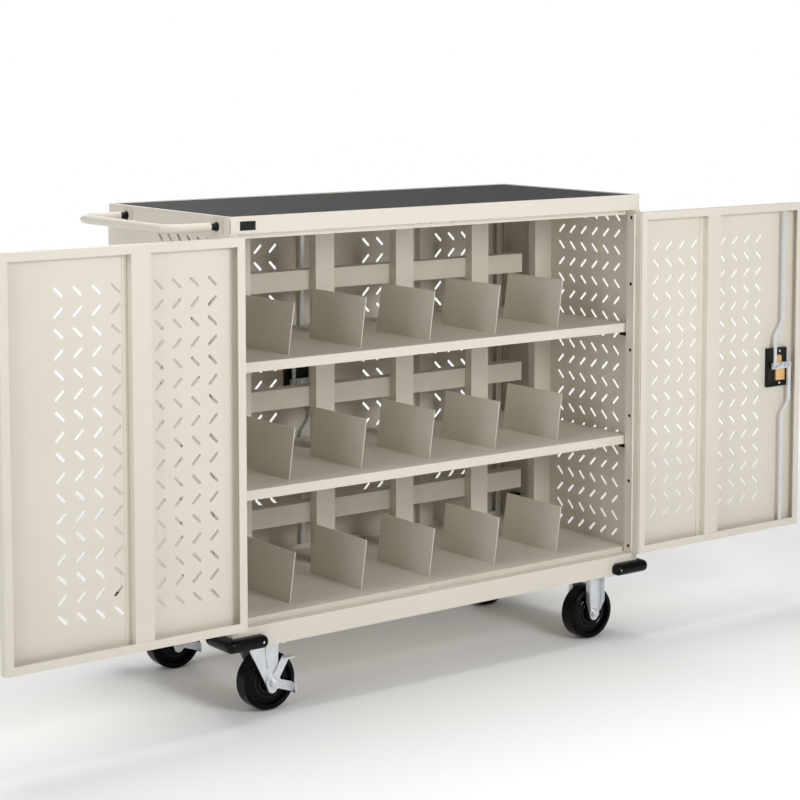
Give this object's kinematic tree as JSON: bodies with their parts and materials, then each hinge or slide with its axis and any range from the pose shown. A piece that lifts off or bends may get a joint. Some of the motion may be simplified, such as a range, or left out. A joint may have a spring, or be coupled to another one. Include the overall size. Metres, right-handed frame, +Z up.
{
  "type": "device charging cart",
  "caption": "Perforated steel cabinet on casters with hinged front and rear doors, a three-point latch, leaning shelf dividers, a matted top tray and a push handle.",
  "frame": {"origin": "on the floor, under the middle of the whole object's box", "axes": "+X along the cart away from the push handle, +Y from the front to the rear, +Z up"},
  "size_m": [2.215, 0.5598, 1.066],
  "materials": {
    "powder_coat": "satin",
    "mat_rubber": "ribbed matte",
    "black_plastic": "matte",
    "putty_plastic": "matte",
    "red_plastic": "gloss",
    "black_rubber": "matte",
    "brass": "yellow passivated",
    "zinc_steel": "bright zinc plated"
  },
  "bodies": {
    "cabinet": {"left_side_panel": "powder_coat", "right_side_panel": "powder_coat", "corner_posts": "powder_coat", "tray": "powder_coat", "mat": "mat_rubber", "headers": "powder_coat", "base_frame": "powder_coat", "bottom_shelf": "powder_coat", "adjustable_shelves": "powder_coat", "shelf_clips": "black_plastic", "uprights": "powder_coat", "dividers": "powder_coat", "power_strips": "putty_plastic", "mains_inlet": "black_plastic", "keepers": "powder_coat", "fasteners": "zinc_steel", "hinge_leaves": "powder_coat", "hinge_pins": "zinc_steel", "push_handle": "powder_coat", "handle_collars": "black_plastic", "bumpers": "black_rubber", "swivel_plates": "zinc_steel", "rigid_forks": "zinc_steel", "rigid_axles": "zinc_steel"},
    "front_left_door": {"front_left_door": "powder_coat", "front_left_stiffener": "powder_coat", "front_left_door_leaf": "powder_coat"},
    "front_right_door": {"front_right_door": "powder_coat", "front_right_stiffener": "powder_coat", "front_right_door_leaf": "powder_coat", "front_lock_housing": "black_plastic", "front_lock_body": "brass"},
    "rear_left_door": {"rear_left_door": "powder_coat", "rear_left_stiffener": "powder_coat", "rear_left_door_leaf": "powder_coat", "rear_lock_housing": "black_plastic"},
    "rear_right_door": {"rear_right_door": "powder_coat", "rear_right_stiffener": "powder_coat", "rear_right_door_leaf": "powder_coat"},
    "front_latch": {"front_lock_cam": "zinc_steel", "front_lock_lever": "black_plastic"},
    "front_upper_rod": {"front_upper_rod": "zinc_steel"},
    "front_lower_rod": {"front_lower_rod": "zinc_steel"},
    "front_swivel": {"front_swivel_fork": "zinc_steel", "front_swivel_axle": "zinc_steel"},
    "front_swivel_wheel": {"front_swivel_wheel": "black_rubber"},
    "front_brake": {"front_brake_lever": "zinc_steel"},
    "front_rigid_wheel": {"front_rigid_wheel": "black_rubber"},
    "rear_latch": {"rear_lock_cam": "zinc_steel", "rear_lock_lever": "black_plastic"},
    "rear_upper_rod": {"rear_upper_rod": "zinc_steel"},
    "rear_lower_rod": {"rear_lower_rod": "zinc_steel"},
    "rear_swivel": {"rear_swivel_fork": "zinc_steel", "rear_swivel_axle": "zinc_steel"},
    "rear_swivel_wheel": {"rear_swivel_wheel": "black_rubber"},
    "rear_brake": {"rear_brake_lever": "zinc_steel"},
    "rear_rigid_wheel": {"rear_rigid_wheel": "black_rubber"},
    "lower_power_button": {"lower_power_button": "red_plastic"},
    "middle_power_button": {"middle_power_button": "red_plastic"},
    "upper_power_button": {"upper_power_button": "red_plastic"}
  },
  "joints": [
    {"name": "front_left_door_hinge", "type": "hinge", "parent": "cabinet", "child": "front_left_door", "pos_m": [-0.5545, -0.2547, 0.62], "axis": [0, 0, 1], "range_deg": [0, 180]},
    {"name": "front_right_door_hinge", "type": "hinge", "parent": "cabinet", "child": "front_right_door", "pos_m": [0.5545, -0.2547, 0.62], "axis": [0, 0, -1], "range_deg": [0, 180]},
    {"name": "rear_left_door_hinge", "type": "hinge", "parent": "cabinet", "child": "rear_left_door", "pos_m": [-0.5545, 0.2567, 0.62], "axis": [0, 0, 1], "range_deg": [0, 180]},
    {"name": "rear_right_door_hinge", "type": "hinge", "parent": "cabinet", "child": "rear_right_door", "pos_m": [0.5545, 0.2567, 0.62], "axis": [0, 0, -1], "range_deg": [0, 180]},
    {"name": "front_latch_turn", "type": "hinge", "parent": "front_right_door", "child": "front_latch", "pos_m": [1.0455, -0.2547, 0.617], "axis": [0, 1, 0], "range_deg": [0, 40]},
    {"name": "front_upper_rod_slide", "type": "slide", "parent": "front_right_door", "child": "front_upper_rod", "axis": [0, 0, 1], "range_m": [0, 0.016]},
    {"name": "front_lower_rod_slide", "type": "slide", "parent": "front_right_door", "child": "front_lower_rod", "axis": [0, 0, -1], "range_m": [0, 0.016]},
    {"name": "rear_latch_turn", "type": "hinge", "parent": "rear_left_door", "child": "rear_latch", "pos_m": [-0.0635, 0.2567, 0.617], "axis": [0, 1, 0], "range_deg": [0, 40]},
    {"name": "rear_upper_rod_slide", "type": "slide", "parent": "rear_left_door", "child": "rear_upper_rod", "axis": [0, 0, 1], "range_m": [0, 0.016]},
    {"name": "rear_lower_rod_slide", "type": "slide", "parent": "rear_left_door", "child": "rear_lower_rod", "axis": [0, 0, -1], "range_m": [0, 0.016]},
    {"name": "front_swivel_turn", "type": "hinge", "parent": "cabinet", "child": "front_swivel", "pos_m": [-0.475, -0.1915, 0.15], "axis": [0, 0, 1], "continuous": true},
    {"name": "front_swivel_wheel_spin", "type": "hinge", "parent": "front_swivel", "child": "front_swivel_wheel", "pos_m": [-0.455, -0.1915, 0.0635], "axis": [0, 1, 0], "continuous": true},
    {"name": "front_brake_turn", "type": "hinge", "parent": "front_swivel", "child": "front_brake", "pos_m": [-0.455, -0.1915, 0.0635], "axis": [0, 1, 0], "range_deg": [0, 18]},
    {"name": "front_rigid_wheel_spin", "type": "hinge", "parent": "cabinet", "child": "front_rigid_wheel", "pos_m": [0.468, -0.1915, 0.0635], "axis": [0, 1, 0], "continuous": true},
    {"name": "rear_swivel_turn", "type": "hinge", "parent": "cabinet", "child": "rear_swivel", "pos_m": [-0.475, 0.1935, 0.15], "axis": [0, 0, 1], "continuous": true},
    {"name": "rear_swivel_wheel_spin", "type": "hinge", "parent": "rear_swivel", "child": "rear_swivel_wheel", "pos_m": [-0.455, 0.1935, 0.0635], "axis": [0, 1, 0], "continuous": true},
    {"name": "rear_brake_turn", "type": "hinge", "parent": "rear_swivel", "child": "rear_brake", "pos_m": [-0.455, 0.1935, 0.0635], "axis": [0, 1, 0], "range_deg": [0, 18]},
    {"name": "rear_rigid_wheel_spin", "type": "hinge", "parent": "cabinet", "child": "rear_rigid_wheel", "pos_m": [0.468, 0.1935, 0.0635], "axis": [0, 1, 0], "continuous": true},
    {"name": "lower_power_button_press", "type": "slide", "parent": "cabinet", "child": "lower_power_button", "axis": [0, -1, 0], "range_m": [0, 0.003], "stiffness_N_per_m": 300},
    {"name": "middle_power_button_press", "type": "slide", "parent": "cabinet", "child": "middle_power_button", "axis": [0, -1, 0], "range_m": [0, 0.003], "stiffness_N_per_m": 300},
    {"name": "upper_power_button_press", "type": "slide", "parent": "cabinet", "child": "upper_power_button", "axis": [0, -1, 0], "range_m": [0, 0.003], "stiffness_N_per_m": 300}
  ],
  "couplings": [
    {"joint": "front_upper_rod_slide", "follows": "front_latch_turn", "m_per_rad": 0.022918},
    {"joint": "front_lower_rod_slide", "follows": "front_latch_turn", "m_per_rad": 0.022918},
    {"joint": "rear_upper_rod_slide", "follows": "rear_latch_turn", "m_per_rad": 0.022918},
    {"joint": "rear_lower_rod_slide", "follows": "rear_latch_turn", "m_per_rad": 0.022918}
  ]
}
